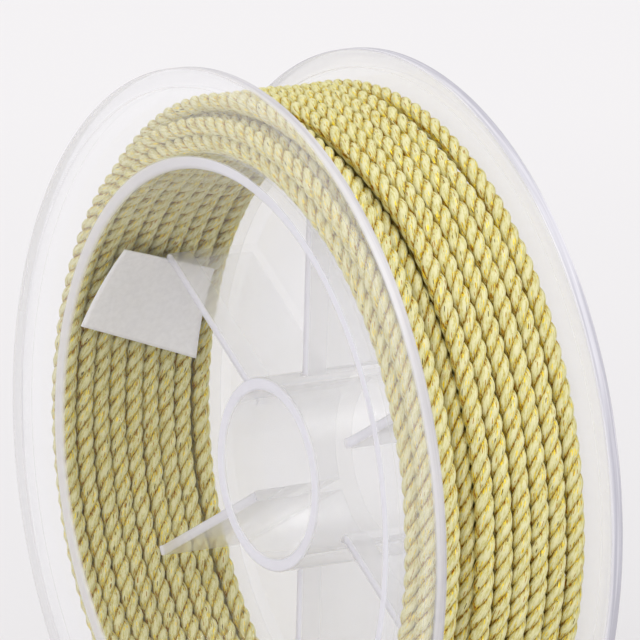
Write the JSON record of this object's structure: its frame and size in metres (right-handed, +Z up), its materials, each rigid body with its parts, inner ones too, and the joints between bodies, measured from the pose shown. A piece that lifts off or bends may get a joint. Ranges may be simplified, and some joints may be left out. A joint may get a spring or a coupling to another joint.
{
  "type": "twisted cord wound on a clear spool",
  "caption": "Twisted cord wound in layers on a clear plastic spool with shallow raised rims, an open barrel and a ribbed hub whose bore it turns on.",
  "frame": {"origin": "on the surface that the spool stands on, under the middle of its width", "axes": "+Y along the spool's axis towards the closed end, +Z up, +X to the right when looking into the open end"},
  "size_m": [0.076, 0.0196, 0.0757],
  "materials": {
    "clear_plastic": "clear moulded polystyrene, glossy, slightly milky where it is thick",
    "cord": "pale lemon-cream yarn, hard laid, with fine gold metallic thread",
    "label_paper": "blank matt paper"
  },
  "bodies": {
    "root": {"flange_open": "clear_plastic", "flange_closed": "clear_plastic", "barrel": "clear_plastic", "hub": "clear_plastic", "rib_1": "clear_plastic", "rib_2": "clear_plastic", "rib_3": "clear_plastic", "rib_4": "clear_plastic", "rib_5": "clear_plastic", "rib_6": "clear_plastic", "cord_winding": "cord", "label": "label_paper"}
  },
  "joints": []
}
